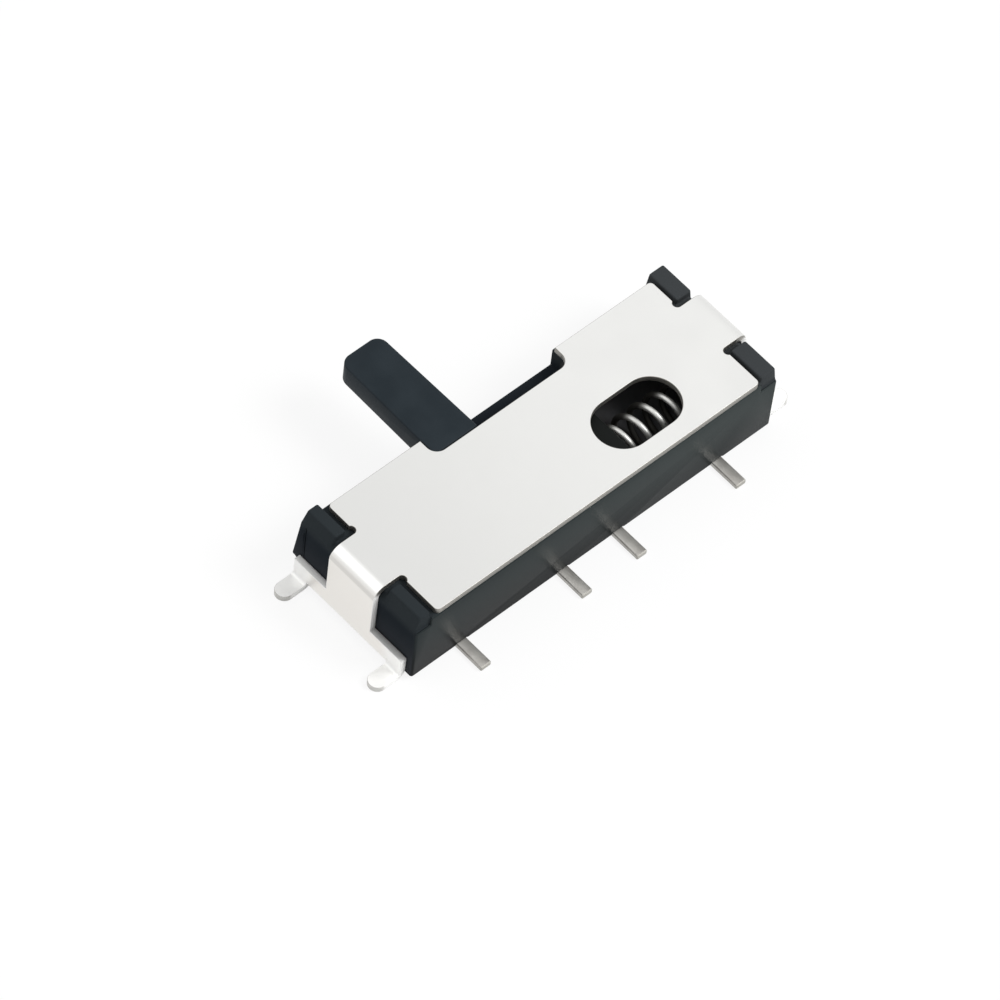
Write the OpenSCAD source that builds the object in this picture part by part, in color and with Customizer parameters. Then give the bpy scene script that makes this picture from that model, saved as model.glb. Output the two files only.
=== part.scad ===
// Momentary slide switch for surface mounting, pushed from the side.
// A moulded housing holds four terminals, a sliding carriage with its lever, a sprung
// contact and a return spring. One folded metal sheet closes it and solders it down.
// X runs along the switch, in the direction in which the lever is pushed. Y points to
// the lever side and Z points up. The origin is the centre of the footprint on the board.

/* [Housing] */
// Length of the moulded housing
body_l = 9.68; // [9.2:0.04:11]
// Width of the housing
body_w = 3.3; // [3.1:0.05:3.8]
// Height of the rim that the cover rests on
rim_h = 1.79; // [1.74:0.05:2.19]
// How far the housing stands above the board
standoff = 0.09; // [0.05:0.01:0.12]
// Length of the seat pad moulded under the housing
seat_l = 4; // [3:0.1:5]
// Width of the seat pad
seat_w = 1.6; // [1.2:0.1:2]
// Thickness of the long walls
wall_t = 0.4; // [0.3:0.05:0.45]
// Thickness of the end walls
end_wall_t = 0.6; // [0.45:0.05:0.7]
// Thickness of the floor
floor_t = 0.45; // [0.4:0.05:0.5]
// Radius of the housing's upright edges
edge_r = 0.06; // [0.02:0.01:0.1]
// How far the corner posts rise above the rim
post_rise = 0.18; // [0.1:0.01:0.24]
// Width of the steep bevel down the lever end of the housing, from the top of the posts
bevel_w = 0.12; // [0.05:0.01:0.2]
// Width of the bevel at the spring end
bevel_w_far = 0.06; // [0.03:0.01:0.2]
// Height of both bevels
bevel_h = 0.36; // [0.25:0.01:0.6]
// How far the two front posts stand back from the front face
post_inset = 0.06; // [0.02:0.01:0.14]
// Height at which the front posts step back
post_step_z = 1.57; // [1.39:0.02:1.69]
// How far the lever-side corners stand out at the top and at the bottom
corner_out_top = 0.06; // [0.02:0.01:0.1]
corner_out_low = 0.26; // [0.1:0.02:0.4]
// Height of the underside of these corners
corner_z0 = 0.39; // [0.25:0.02:0.65]
// Width of the groove between the cover and the corner posts at the lever end
post_gap = 0.14; // [0.06:0.01:0.16]
// Width of the groove at the spring end
post_gap_far = 0.07; // [0.05:0.01:0.16]

/* [Lever opening] */
// Length of the opening that the lever travels in
opening_l = 3.6; // [3.2:0.05:3.8]
// Middle of the opening along the switch
opening_x = -0.09; // [-0.2:0.01:0.2]
// Height of the sill below the lever
sill_h = 1.29; // [1.19:0.05:1.39]

/* [Cover] */
// Thickness of the sheet
sheet_t = 0.15; // [0.1:0.01:0.2]
// How far the flat plate stays inside the ends of the housing, apart from its tabs
plate_end = 0.52; // [0.46:0.01:0.6]
// How far the plate stays inside the front face of the housing
plate_front = 0.01; // [0:0.01:0.1]
// How far the plate stays inside the back face, where the lever comes out
plate_back = 0.08; // [0:0.01:0.12]
// Radius of the plate's four corners
plate_r = 0.1; // [0.02:0.01:0.2]
// Depth of the notch above the lever opening
notch_d = 0.45; // [0.4:0.01:0.5]
// Radius of the notch's inner corners
notch_r = 0.25; // [0.1:0.01:0.35]
// Middle of the tabs, flanges and feet across the switch
end_y = 0.09; // [-0.1:0.01:0.15]
// Width of the tab folded down at each end
tab_w = 1.3; // [1.1:0.02:1.6]
// Inner radius of the folds at the top of the tabs
fold_r = 0.15; // [0.08:0.01:0.2]
// Width of the relief slots beside each tab
relief_w = 0.2; // [0.14:0.02:0.4]
// How far the relief slots cut into the plate
relief_d = 0.06; // [0.03:0.01:0.2]
// Width of the flange at the foot of each tab
flange_w = 3.15; // [2.8:0.05:3.3]
// Height of the flange's upper edge
flange_h = 0.61; // [0.51:0.02:0.99]
// Height of the flange's lower edge between the feet
flange_lift = 0.19; // [0.12:0.01:0.22]
// Width of each solder foot
foot_w = 0.4; // [0.3:0.01:0.5]
// Reach of the feet beyond the flange
foot_l = 0.6; // [0.4:0.02:0.8]
// Inner radius of the bend above each foot
foot_r = 0.08; // [0.05:0.01:0.12]
// Length of the window over the return spring
window_l = 2.05; // [1.4:0.05:2.3]
// Width of the window
window_w = 1.24; // [0.9:0.02:1.5]
// Middle of the window along the switch
window_x = 1.91; // [1.6:0.01:2.2]

/* [Slider] */
// Room between the carriage pushed home and the end wall, where the trough is narrow
shoulder_l = 0.46; // [0.36:0.02:0.86]
// Reach of the carriage's arm and hood beside and above the spring
hood_l = 1.36; // [0.9:0.02:1.4]
// Width of the lever at its root
lever_w = 1.14; // [0.9:0.02:1.2]
// Width of the lever at its tip
lever_tip_w = 1.06; // [0.85:0.01:1.1]
// Reach of the lever beyond the housing
lever_out = 2.4; // [1.5:0.05:3]
// How far the lever's top lies below the top of the cover
lever_drop = 0.05; // [0.02:0.01:0.1]
// Radius of the lever's corners at the tip
lever_r = 0.25; // [0.1:0.01:0.35]
// Depth of the pocket for the moving contact, from the floor up
contact_pocket_h = 0.5; // [0.4:0.02:0.6]

/* [Terminals] */
// Middle of the row of terminals along the switch
terminals_x = -0.06; // [-0.15:0.01:0.1]
// Width of each terminal
lead_w = 0.27; // [0.2:0.01:0.4]
// Thickness of each terminal
lead_t = 0.12; // [0.1:0.01:0.18]
// Reach of the terminals beyond the housing
lead_out = 0.72; // [0.6:0.02:1.2]
// Distance between the two middle terminals
inner_pitch = 1.48; // [1.3:0.02:1.7]
// Distance between the two outer terminals
outer_pitch = 6.88; // [6.5:0.02:7.1]
// Width of the contact pads on the floor
pad_w = 0.6; // [0.4:0.02:0.7]

/* [Moving contact] */
// Thickness of the contact strip
contact_t = 0.08; // [0.05:0.01:0.1]
// Width of the contact strip
contact_w = 0.7; // [0.5:0.02:0.9]
// Radius of the contact fingers' rounded tips
finger_r = 0.14; // [0.1:0.01:0.16]
// Width of the split between the two prongs of a finger
split_w = 0.12; // [0.08:0.01:0.2]

/* [Return spring] */
// Outer diameter of the coil
spring_d = 1.06; // [0.8:0.02:1.08]
// Diameter of the wire
wire_d = 0.13; // [0.08:0.01:0.13]
// Number of open turns
open_turns = 9; // [6:0.5:10]
// Number of closed turns at each end
closed_turns = 0.9; // [0.75:0.05:1.25]
// Middle of the spring and of the window across the switch
spring_y = -0.62; // [-0.66:0.01:-0.5]

/* [Clearances] */
// Running clearance around the carriage and the lever
run_gap = 0.04; // [0.02:0.01:0.06]
// Gap at the slider's stops
stop_gap = 0.03; // [0.02:0.01:0.08]
// Gap between the spring and its seats
seat_gap = 0.02; // [0.01:0.01:0.04]
// Gap between the cover's ends and the housing
cover_gap = 0.01; // [0.01:0.01:0.05]

/* [Hidden] */
$fn = 48;
// Overrun of the cuts, so that they pass clean through
eps = 0.05;

floor_z = standoff + floor_t;
cover_top = rim_h + sheet_t;
plate_x = body_l/2 - plate_end;
plate_y0 = plate_front - body_w/2;
plate_y1 = body_w/2 - plate_back;

// Cavity of the housing
cav_x0 = -body_l/2 + end_wall_t;
cav_x1 = body_l/2 - end_wall_t;
cav_y = body_w/2 - wall_t;

// Grooves before the posts at the spring end and at the lever end
grooves = [post_gap_far, post_gap];

// Slider at rest, and how far it travels
open_x0 = opening_x - opening_l/2;
open_x1 = opening_x + opening_l/2;
travel = opening_l - lever_w - 2*stop_gap;
lever_x = open_x0 + stop_gap + lever_w/2;
carriage_l = cav_x1 - cav_x0 - hood_l - travel - 2*stop_gap - shoulder_l;
car_x0 = cav_x0 + stop_gap;
car_x1 = car_x0 + carriage_l;
car_y = cav_y - run_gap;
car_z0 = floor_z + run_gap;
car_z1 = rim_h - run_gap;
lever_z0 = sill_h + run_gap;
lever_z1 = cover_top - lever_drop;
lever_tip_y = body_w/2 + lever_out;
hood_x1 = car_x1 + hood_l;
shoulder_x = hood_x1 + travel + stop_gap;

// Moving contact: its two fingers stand one travel apart
contact_x = (car_x0 + car_x1)/2;
pocket_z = floor_z + contact_pocket_h;
web_l = 0.9;
stud_d = 0.4;

// Contact pads on the floor, under the fingers at rest and when pushed
lead_x = [for (p = [-outer_pitch, -inner_pitch, inner_pitch, outer_pitch]) terminals_x + p/2];
pad_x = [contact_x - travel/2, contact_x + travel/2, contact_x + 1.5*travel];
pad_y = contact_w/2 + 0.1;
jog_y = -body_w/2 + 0.2;
anchor_l = 0.75;

// Return spring, its trough and its spigots
spring_z = floor_z + seat_gap + spring_d/2;
spring_x0 = car_x1 + seat_gap;
spring_x1 = cav_x1 - seat_gap;
trough_w = spring_d + 2*run_gap;
spigot_d = spring_d - 2*wire_d - 2*run_gap;
spigot_l = 0.45;

// Ends of the cover
end_in = body_l/2 + cover_gap;
end_out = end_in + sheet_t;
fold_x = end_in - fold_r;
flange_z = foot_r + sheet_t;

// A box given by its two ends on each axis
module span(x, y, z) {
    translate([x[0], y[0], z[0]])
        cube([x[1] - x[0], y[1] - y[0], z[1] - z[0]]);
}

// A flat strip of even thickness that follows a line of points and has round joints
module strip(points, t) {
    for (i = [0:len(points) - 2]) {
        run = points[i + 1] - points[i];
        translate(points[i])
            rotate(atan2(run[1], run[0]))
                translate([0, -t/2])
                    square([norm(run), t]);
    }
    for (i = [1:len(points) - 2])
        translate(points[i])
            circle(d = t);
}

// A slot with two round ends
module slot(l, w) {
    square([l - w, w], center = true);
    for (s = [-1, 1])
        translate([s*(l - w)/2, 0])
            circle(d = w);
}

// A rectangle with four round corners
module rounded(l, w, r) {
    square([l - 2*r, w], center = true);
    square([l, w - 2*r], center = true);
    for (sx = [-1, 1], sy = [-1, 1])
        translate([sx*(l/2 - r), sy*(w/2 - r)])
            circle(r);
}

// ---- Housing ----

// The outline of the housing from the side, wide enough to trim any piece: above the
// start of the bevels its ends lean in
module side_outline(top_z) {
    bevel_z = rim_h + post_rise - bevel_h;
    share = (top_z - bevel_z)/bevel_h;
    translate([0, body_w, 0])
        rotate([90, 0, 0])
            linear_extrude(2*body_w)
                polygon([[-body_l/2, 0], [body_l/2, 0],
                         [body_l/2, bevel_z], [body_l/2 - share*bevel_w_far, top_z],
                         [share*bevel_w - body_l/2, top_z], [-body_l/2, bevel_z]]);
}

// The two corners at one end, with a groove of a given width before them: a straight post
// at the front, and on the lever side one that stands out more and more from its top to
// its underside
module corners(gap) {
    inner_x = plate_x + gap;
    tab_lo = end_y - tab_w/2 - post_gap;
    tab_hi = end_y + tab_w/2 + post_gap;
    back_y = body_w/2;
    top_z = rim_h + post_rise;
    span([inner_x, body_l], [post_inset - body_w/2, tab_lo], [rim_h - eps, top_z]);
    translate([inner_x, 0, 0])
        rotate([90, 0, 90])
            linear_extrude(body_l)
                polygon([[tab_hi, rim_h - eps], [back_y - eps, rim_h - eps],
                         [back_y - eps, corner_z0], [back_y + corner_out_low, corner_z0],
                         [back_y + corner_out_top, top_z], [tab_hi, top_z]]);
}

module housing() {
    color("#33383d")
    difference() {
        union() {
            difference() {
                intersection() {
                    translate([0, 0, standoff])
                        linear_extrude(rim_h - standoff)
                            rounded(body_l, body_w, edge_r);
                    side_outline(rim_h);
                }
                // Room for the carriage, then a narrower trough for the spring
                span([cav_x0, shoulder_x], [-cav_y, cav_y], [floor_z, rim_h + eps]);
                span([shoulder_x - eps, cav_x1],
                     [spring_y - trough_w/2, spring_y + trough_w/2],
                     [floor_z, rim_h + eps]);
                // Opening for the lever
                span([open_x0, open_x1], [cav_y - eps, body_w/2 + eps], [sill_h, rim_h + eps]);
                // Front corners, which step back below their posts
                for (m = [0, 1])
                    mirror([m, 0, 0])
                        span([plate_x + grooves[m], body_l],
                             [-body_w, post_inset - body_w/2],
                             [post_step_z, rim_h + eps]);
            }
            intersection() {
                side_outline(rim_h + post_rise);
                for (m = [0, 1])
                    mirror([m, 0, 0])
                        corners(grooves[m]);
            }
            // Seat pad, level with the undersides of the terminals and the feet
            span([-seat_l/2, seat_l/2], [-seat_w/2, seat_w/2], [0, standoff + eps]);
            // Spigot that holds the fixed end of the spring
            translate([cav_x1 - spigot_l, spring_y, spring_z])
                rotate([0, 90, 0])
                    cylinder(d = spigot_d, h = spigot_l + eps);
        }
        // Edges under the tabs, cut back to clear the inside of the folds
        for (m = [0, 1])
            mirror([m, 0, 0])
                translate([end_in, end_y + tab_w/2 + post_gap, rim_h])
                    rotate([90, 0, 0])
                        linear_extrude(tab_w + 2*post_gap)
                            polygon([[-fold_r, 0], [0, -fold_r], [eps, 0], [0, eps]]);
        for (i = [0:3])
            terminal(i);
    }
}

// ---- Terminals ----

// Flat strip of one terminal: from its tip on the board it runs under the front wall and
// steps up into the floor, either to a pad flush with the floor or to an anchor inside it
module terminal(i) {
    out_y = -body_w/2 - lead_out;
    has_pad = i < len(pad_x);
    low = lead_t/2;
    high = has_pad ? floor_z - lead_t/2 : standoff + floor_t/2;
    inner_y = has_pad ? pad_y : anchor_l - body_w/2;
    path = [[out_y, low], [jog_y, low], [jog_y + high - low, high], [inner_y, high]];
    translate([lead_x[i] - lead_w/2, 0, 0])
        rotate([90, 0, 90])
            linear_extrude(lead_w)
                strip(path, lead_t);
    if (has_pad) {
        x0 = min(lead_x[i] - lead_w/2, pad_x[i] - pad_w/2);
        x1 = max(lead_x[i] + lead_w/2, pad_x[i] + pad_w/2);
        span([x0, x1], [-pad_y, pad_y], [floor_z - lead_t, floor_z]);
    }
}

module terminal_1() { color("#a9a8a2") terminal(0); }
module terminal_2() { color("#a9a8a2") terminal(1); }
module terminal_3() { color("#a9a8a2") terminal(2); }
module terminal_4() { color("#a9a8a2") terminal(3); }

// ---- Slider ----

// Outline of the lever from above: slightly tapered, with round corners at its tip
module lever_outline() {
    root_y = cav_y - run_gap - eps;
    lean = atan((lever_w - lever_tip_w)/2/(lever_tip_y - root_y));
    corner_x = lever_tip_w/2 - lever_r;
    corner_y = lever_tip_y - lever_r;
    side_x = corner_x + lever_r*cos(lean);
    side_y = corner_y + lever_r*sin(lean);
    polygon([[-lever_w/2, root_y], [lever_w/2, root_y],
             [side_x, side_y], [corner_x, corner_y], [corner_x, lever_tip_y],
             [-corner_x, lever_tip_y], [-corner_x, corner_y], [-side_x, side_y]]);
    for (s = [-1, 1])
        translate([s*corner_x, corner_y])
            circle(lever_r);
}

module slider() {
    step_y = plate_y1 - notch_d + run_gap;
    color("#2e3338")
    difference() {
        union() {
            difference() {
                span([car_x0, hood_x1], [-car_y, car_y], [car_z0, car_z1]);
                // Room for the spring, which leaves an arm beside it and a hood above it
                span([car_x1, hood_x1 + eps],
                     [-car_y - eps, spring_y + trough_w/2],
                     [car_z0 - eps, spring_z + spring_d/2 + run_gap]);
            }
            // Lever: it passes over the sill and rises into the cover's notch
            translate([lever_x, 0, lever_z0])
                linear_extrude(lever_z1 - lever_z0)
                    lever_outline();
            // Spigot that holds the moving end of the spring
            translate([car_x1 - eps, spring_y, spring_z])
                rotate([0, 90, 0])
                    cylinder(d = spigot_d, h = spigot_l + eps);
        }
        // Step that keeps the lever's root under the plate
        span([lever_x - lever_w, lever_x + lever_w], [0, step_y], [car_z1, lever_z1 + eps]);
        // Pocket for the moving contact, around its stud
        difference() {
            span([contact_x - travel/2 - 2*finger_r, contact_x + travel/2 + 2*finger_r],
                 [-contact_w/2 - run_gap, contact_w/2 + run_gap],
                 [car_z0 - eps, pocket_z]);
            translate([contact_x, 0, pocket_z - 2*contact_t])
                cylinder(d = stud_d, h = 2*contact_t + eps);
        }
    }
}

// ---- Moving contact ----

// One sprung strip: a flat web on the stud, and at each end a split finger that slopes
// down to a rounded tip on the pads
module moving_contact() {
    web_z = pocket_z - contact_t/2;
    tip_z = floor_z + seat_gap + contact_t/2;
    reach = travel/2;
    arm = concat([[0, web_z], [web_l/2, web_z]],
                 [[reach - finger_r*0.7, tip_z + finger_r*0.3],
                  [reach, tip_z],
                  [reach + finger_r*0.7, tip_z + finger_r*0.3],
                  [reach + finger_r, tip_z + finger_r]]);
    color("#b8923f")
    difference() {
        translate([contact_x, contact_w/2, 0])
            rotate([90, 0, 0])
                linear_extrude(contact_w)
                    for (m = [0, 1])
                        mirror([m, 0])
                            strip(arm, contact_t);
        translate([contact_x, 0, pocket_z - 1])
            cylinder(d = stud_d + 2*seat_gap, h = 2);
        for (s = [-1, 1])
            translate([contact_x + s*(web_l/2 + reach), 0, 0])
                span([-reach, reach], [-split_w/2, split_w/2], [0, pocket_z + eps]);
    }
}

// ---- Return spring ----

// Sides of the wire's section, and steps in one turn
wire_sides = 8;
turn_steps = 20;
coil_r = (spring_d - wire_d)/2;
closed_pitch = wire_d*1.06;
open_pitch = (spring_x1 - spring_x0 - wire_d - 2*closed_turns*closed_pitch)/open_turns;
all_turns = open_turns + 2*closed_turns;

// Place along X of the wire's middle after a number of turns
function coil_x(n) = spring_x0 + wire_d/2
    + closed_pitch*min(n, closed_turns)
    + open_pitch*max(0, min(n - closed_turns, open_turns))
    + closed_pitch*max(0, n - closed_turns - open_turns);

// Middle of the wire after a number of turns, as a right-hand helix about X
function coil_at(n) = [coil_x(n), spring_y + coil_r*cos(360*n), spring_z + coil_r*sin(360*n)];

// A ring of points around the wire, square to its run
function coil_ring(n) =
    let (d = 0.01,
         run = coil_at(n + d) - coil_at(n - d),
         along = run/norm(run),
         out = [0, cos(360*n), sin(360*n)],
         side = cross(along, out))
    [for (k = [0:wire_sides - 1])
        let (a = 360*k/wire_sides)
        coil_at(n) + wire_d/2*(cos(a)*out + sin(a)*side)];

module return_spring() {
    steps = round(all_turns*turn_steps);
    rings = [for (i = [0:steps]) coil_ring(all_turns*i/steps)];
    points = [for (ring = rings, p = ring) p];
    walls = [for (i = [0:steps - 1], k = [0:wire_sides - 1])
        let (j = (k + 1) % wire_sides, a = i*wire_sides, b = a + wire_sides)
        [a + k, b + k, b + j, a + j]];
    start_cap = [[for (k = [0:wire_sides - 1]) k]];
    end_cap = [[for (k = [wire_sides - 1:-1:0]) steps*wire_sides + k]];
    color("#c9cacb")
        polyhedron(points, concat(walls, start_cap, end_cap), convexity = 10);
}

// ---- Cover ----

// Outline of the flat sheet from above, up to the two folds
module plate_outline() {
    difference() {
        union() {
            translate([0, (plate_y0 + plate_y1)/2])
                rounded(2*plate_x, plate_y1 - plate_y0, plate_r);
            translate([0, end_y])
                square([2*fold_x, tab_w], center = true);
        }
        // Notch for the lever, with round inner corners
        translate([opening_x, plate_y1])
            rounded(opening_l, 2*notch_d, notch_r);
        // Window over the spring
        translate([window_x, spring_y])
            slot(window_l, window_w);
        // Relief slots beside the tabs
        for (sx = [-1, 1], sy = [-1, 1])
            translate([sx*(plate_x - relief_d + body_l/2), end_y + sy*(tab_w + relief_w)/2])
                slot(body_l, relief_w);
    }
}

// A quarter of a ring, from straight out to straight up, as wide as the strip it bends
module bend(r, w) {
    rotate([90, 0, 0])
        linear_extrude(w, center = true)
            intersection() {
                difference() {
                    circle(r + sheet_t);
                    circle(r);
                }
                square(r + sheet_t);
            }
}

// One end of the cover: tab, flange and two solder feet
module cover_end() {
    foot_y = (flange_w - foot_w)/2;
    translate([0, end_y, 0]) {
        // The tab's root lies in the plate, so that the bend never depends on a bare touch
        span([fold_x - sheet_t, fold_x], [-tab_w/2, tab_w/2], [rim_h, cover_top]);
        translate([fold_x, 0, rim_h - fold_r])
            bend(fold_r, tab_w);
        span([end_in, end_out], [-tab_w/2, tab_w/2], [flange_lift, rim_h - fold_r]);
        span([end_in, end_out], [foot_w - flange_w/2, flange_w/2 - foot_w], [flange_lift, flange_h]);
        span([end_in, end_out], [-flange_w/2, flange_w/2], [flange_z, flange_h]);
        for (s = [-1, 1])
            translate([end_out + foot_r, s*foot_y, 0]) {
                translate([0, 0, flange_z])
                    mirror([0, 0, 1])
                        mirror([1, 0, 0])
                            bend(foot_r, foot_w);
                linear_extrude(sheet_t) {
                    translate([0, -foot_w/2])
                        square([foot_l - foot_r - foot_w/2, foot_w]);
                    translate([foot_l - foot_r - foot_w/2, 0])
                        circle(d = foot_w);
                }
            }
    }
}

module cover() {
    color("#e9e9e6") {
        translate([0, 0, rim_h])
            linear_extrude(sheet_t)
                plate_outline();
        for (m = [0, 1])
            mirror([m, 0, 0])
                cover_end();
    }
}

housing();
terminal_1();
terminal_2();
terminal_3();
terminal_4();
slider();
moving_contact();
return_spring();
cover();
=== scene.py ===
# %% [markdown]
# # A small slide switch, pushed from the side
#
# This lesson dresses a tiny surface-mount slide switch. Its solids come from a CAD model:
# a black moulded housing 9.7 mm long, a slider with a long lever, four flat terminals, a
# return spring, a sprung contact and one folded sheet of plated metal that closes it. The
# CAD model says where everything is and how it moves. Blender adds what a close look
# shows: rolled edges on the stamped sheet, soft edges on the mouldings, a round spring
# wire, and finishes.
#
# Blender works in metres. A part this small is easier to think about in millimetres, so
# all measures below are written in millimetres, and MM turns them into metres.

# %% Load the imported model
import math

import bmesh
import bpy
import numpy as np
from mathutils import Matrix, Vector
from mathutils.geometry import delaunay_2d_cdt


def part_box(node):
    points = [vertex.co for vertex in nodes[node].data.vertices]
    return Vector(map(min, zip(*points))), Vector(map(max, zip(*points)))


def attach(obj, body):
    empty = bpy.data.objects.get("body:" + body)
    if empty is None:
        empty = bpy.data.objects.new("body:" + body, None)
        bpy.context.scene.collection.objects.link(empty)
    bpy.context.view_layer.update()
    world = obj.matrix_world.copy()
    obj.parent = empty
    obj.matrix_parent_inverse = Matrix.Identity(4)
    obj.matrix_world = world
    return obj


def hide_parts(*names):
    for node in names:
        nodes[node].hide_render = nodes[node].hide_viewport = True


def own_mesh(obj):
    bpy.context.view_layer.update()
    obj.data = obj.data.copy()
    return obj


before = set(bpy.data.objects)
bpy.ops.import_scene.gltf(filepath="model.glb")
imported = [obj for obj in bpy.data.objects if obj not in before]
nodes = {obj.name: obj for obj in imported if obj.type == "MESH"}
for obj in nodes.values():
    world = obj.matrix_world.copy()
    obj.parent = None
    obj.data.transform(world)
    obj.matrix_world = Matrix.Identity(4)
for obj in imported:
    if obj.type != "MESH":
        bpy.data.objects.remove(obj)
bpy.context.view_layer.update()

MM = 0.001
scene = bpy.context.scene
print("CAD nodes:", ", ".join(sorted(nodes)))

# %% [markdown]
# ## The camera
#
# A part of about one centimetre is seen here from well above through a long lens, so that
# its parallel edges stay almost parallel. Four plain facts place the camera: which way it
# faces round the part, how high it stands, how far away, and how much it is tilted. From
# the angles follow three directions, and they are the columns of the camera's matrix: to
# the right, up, and back towards the camera.

# %% Camera
AZIMUTH = math.radians(-49.184)
ELEVATION = math.radians(54.872)
TILT = math.radians(8.3206)
DISTANCE = 155.67 * MM
AIM = np.array([-0.04, -0.05, 0.09]) * MM
LENS, SENSOR = 282.12, 36.0
SHIFT_X, SHIFT_Y = -0.03701, -0.00156
CLIP_NEAR, CLIP_FAR = 5 * MM, 5000 * MM

back = np.array([
    math.sin(AZIMUTH) * math.cos(ELEVATION),
    -math.cos(AZIMUTH) * math.cos(ELEVATION),
    math.sin(ELEVATION),
])
level = np.array([math.cos(AZIMUTH), math.sin(AZIMUTH), 0.0])
upright = np.cross(back, level)
right = math.cos(TILT) * level + math.sin(TILT) * upright
up = math.cos(TILT) * upright - math.sin(TILT) * level

camera_data = bpy.data.cameras.new("camera")
camera_data.sensor_width = SENSOR
camera_data.lens = LENS
camera_data.shift_x, camera_data.shift_y = SHIFT_X, SHIFT_Y
camera_data.clip_start, camera_data.clip_end = CLIP_NEAR, CLIP_FAR
camera = bpy.data.objects.new("camera", camera_data)
scene.collection.objects.link(camera)
pose = np.eye(4)
pose[:3, 0], pose[:3, 1], pose[:3, 2] = right, up, back
pose[:3, 3] = AIM + DISTANCE * back
camera.matrix_world = Matrix(pose.tolist())
scene.camera = camera
print("camera is", round(DISTANCE / MM), "mm away, with a lens of", round(LENS), "mm")

# %% [markdown]
# ## Three helpers
#
# New pieces are made from arrays: a list of points and a list of faces go into a mesh in
# one call. Pieces that only need softer edges start as a copy of their CAD solid. That
# solid is a loose set of triangles, so its doubled points are merged first, and flat
# neighbours are joined, which leaves only true edges. A Bevel modifier then rounds every
# edge that turns by more than a given angle, as a mould or a punch would.

# %% Helpers
MERGE_WITHIN = 0.002
FLAT_WITHIN = math.radians(1)
EDGE_FROM = math.radians(35)
ROUND_STEPS = 3


def link(name, mesh):
    """A new object at the origin that holds the mesh."""
    piece = bpy.data.objects.new(name, mesh)
    scene.collection.objects.link(piece)
    return piece


def mesh_piece(name, points, faces, smooth=True):
    """Points in millimetres and lists of corner numbers, as one object with shaded faces."""
    mesh = bpy.data.meshes.new(name)
    mesh.from_pydata((np.asarray(points) * MM).tolist(), [], faces)
    mesh.polygons.foreach_set("use_smooth", np.full(len(mesh.polygons), smooth))
    mesh.update()
    return link(name, mesh)


def soft_copy(node, name, radius):
    """A merged copy of a CAD node whose sharp edges are rounded by radius millimetres."""
    shell = bmesh.new()
    shell.from_mesh(nodes[node].data)
    bmesh.ops.remove_doubles(shell, verts=shell.verts, dist=MERGE_WITHIN * MM)
    bmesh.ops.dissolve_limit(
        shell, angle_limit=FLAT_WITHIN, verts=shell.verts, edges=shell.edges)
    mesh = bpy.data.meshes.new(name)
    shell.to_mesh(mesh)
    shell.free()
    mesh.polygons.foreach_set("use_smooth", np.ones(len(mesh.polygons), bool))
    piece = link(name, mesh)
    round_edges = piece.modifiers.new("round edges", "BEVEL")
    round_edges.width = radius * MM
    round_edges.segments = ROUND_STEPS
    round_edges.limit_method = "ANGLE"
    round_edges.angle_limit = EDGE_FROM
    round_edges.use_clamp_overlap = False
    round_edges.harden_normals = True
    return piece


print("edges that turn by more than", round(math.degrees(EDGE_FROM)), "degrees get rounded")

# %% [markdown]
# ## The folded cover
#
# The cover is one sheet, 0.15 mm thick: a flat plate, a tab folded down at each end, a
# wider flange at the foot of the tab, and two solder feet that turn outwards. It is made
# here as the real one is made. First the flat blank is cut: an outline and a window in two
# coordinates, u along the strip and v across it. Then the blank is bent: a path, seen from
# the side, says where each u ends up, and v stays as it is.
#
# The measures come first. Those of the fold and the foot give the places along u where
# each bend starts and ends, because a quarter turn uses up its radius times pi / 2.

# %% Measures of the blank
# X and Y are places on the part, and U is a place along the flat strip. W is a width, L a
# length, D a depth and R a radius. PLATE_X is half the length of the plate.
SHEET = 0.15
PLATE_X, PLATE_FRONT, PLATE_BACK = 4.32, -1.64, 1.57
PLATE_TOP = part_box("cover")[1].z / MM
CORNER_R = 0.10
END_Y, TAB_W = 0.09, 1.30
RELIEF_W, RELIEF_D = 0.20, 0.06
FLANGE_W, FLANGE_TOP, FLANGE_LOW = 3.15, 0.61, 0.19
FOOT_W, FOOT_L, FOOT_R = 0.40, 0.60, 0.08
FOLD_R, END_IN = 0.15, 4.85
NOTCH_X0, NOTCH_X1, NOTCH_Y, NOTCH_R = -1.89, 1.71, 1.12, 0.25
WINDOW_X, WINDOW_Y, WINDOW_L, WINDOW_W = 1.91, -0.62, 2.05, 1.24
NICK, NICK_RISE = 0.006, 0.06

RIM_Z = PLATE_TOP - SHEET
FOLD_U0 = END_IN - FOLD_R
FOLD_U1 = FOLD_U0 + FOLD_R * math.pi / 2
BEND_Z = FOOT_R + SHEET
BEND_U0 = FOLD_U1 + RIM_Z - FOLD_R - BEND_Z
BEND_U1 = BEND_U0 + BEND_Z * math.pi / 2
NICK_U = BEND_U0 - NICK_RISE
FLANGE_U0 = FOLD_U1 + RIM_Z - FOLD_R - FLANGE_TOP
FLANGE_U1 = FOLD_U1 + RIM_Z - FOLD_R - FLANGE_LOW
FOOT_U1 = BEND_U1 + FOOT_L - FOOT_R - FOOT_W / 2
print("the flat blank is", round(2 * (FOOT_U1 + FOOT_W / 2), 2), "mm long")

# %% [markdown]
# ## The outline of the blank
#
# A punched outline is straight lines and arcs. Both ends of the blank are the same, so one
# end is worked out and mirrored. Between a tab and the plate lie two small relief slots,
# which let the fold run straight. Beside each foot a hair-thin nick lets the foot bend
# outwards while the flange beside it stays flat.

# %% Outline of the blank
def arc(cx, cy, r, a0, a1, steps=14):
    """Points on a circle about (cx, cy) from angle a0 to a1, in degrees."""
    a = np.radians(np.linspace(a0, a1, steps + 1))
    return np.column_stack([cx + r * np.cos(a), cy + r * np.sin(a)])


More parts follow.
